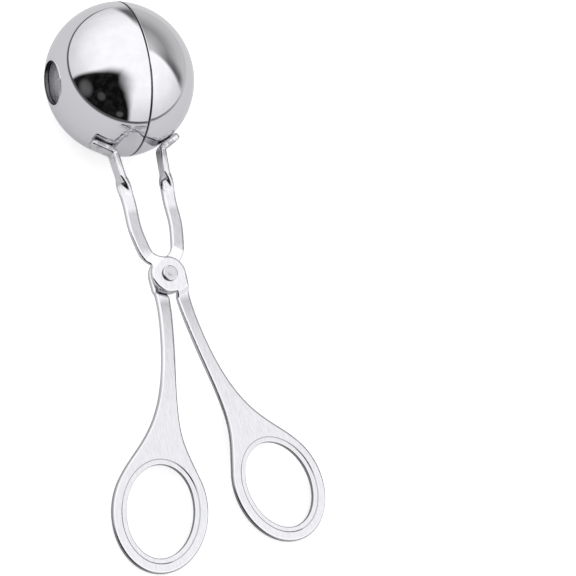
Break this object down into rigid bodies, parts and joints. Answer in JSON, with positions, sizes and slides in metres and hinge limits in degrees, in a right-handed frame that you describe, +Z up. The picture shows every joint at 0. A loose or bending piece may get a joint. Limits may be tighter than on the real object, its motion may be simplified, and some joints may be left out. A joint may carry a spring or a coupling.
{
  "type": "meatball tongs",
  "caption": "Scissor tongs with finger rings whose thin round bowls close into a hollow ball to shape meat, dough or rice.",
  "frame": {"origin": "on the ground under the middle of the tongs as they lie on the ball and the ends of the finger rings", "axes": "+Z up, +Y from the finger rings towards the ball, +X to the right as seen from above with the ball away from the viewer"},
  "size_m": [0.0666, 0.1676, 0.0466],
  "materials": {
    "polished_steel": "mirror-polished stainless steel",
    "arm_steel": "satin stainless steel, tumbled edges",
    "rivet_steel": "satin stainless steel"
  },
  "bodies": {
    "rear_half": {"rear_arm": "arm_steel", "right_bowl": "polished_steel", "pivot_rivet": "rivet_steel"},
    "front_half": {"front_arm": "arm_steel", "left_bowl": "polished_steel"}
  },
  "joints": [
    {"name": "pivot", "type": "hinge", "parent": "rear_half", "child": "front_half", "pos_m": [0, -0.00143, 0.0137], "axis": [0, -0.1532, 0.9882], "range_deg": [0, 65]}
  ]
}
